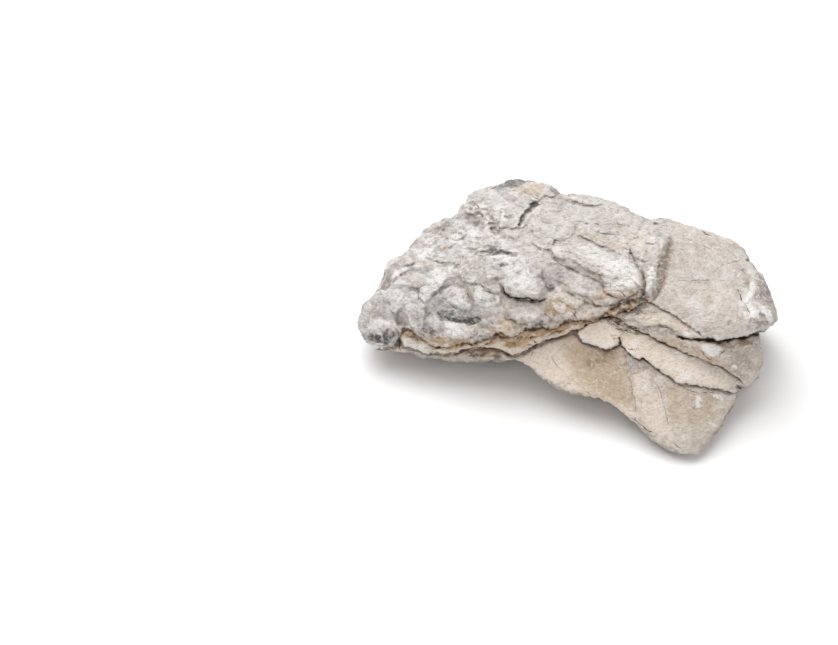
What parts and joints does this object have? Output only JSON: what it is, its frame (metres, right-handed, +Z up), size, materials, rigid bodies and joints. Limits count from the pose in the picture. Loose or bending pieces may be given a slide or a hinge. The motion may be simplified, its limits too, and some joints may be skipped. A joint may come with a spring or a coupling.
{
  "type": "elephant skin stone",
  "caption": "Weathered limestone boulder with a folded, wrinkled hide on its upper left, split slabs on its right and a flat broken underside to rest on.",
  "frame": {"origin": "centre of the bounding box on the floor, under the middle of the stone", "axes": "+X along the stone's length, from the folded hide's tip to the right slab's end; +Y from the low toe to the high back; +Z up from the face that it rests on"},
  "size_m": [0.2981, 0.2091, 0.1024],
  "materials": {
    "stone": "rough weathered limestone, pale grey to cream"
  },
  "bodies": {
    "root": {"stone": "stone"}
  },
  "joints": []
}
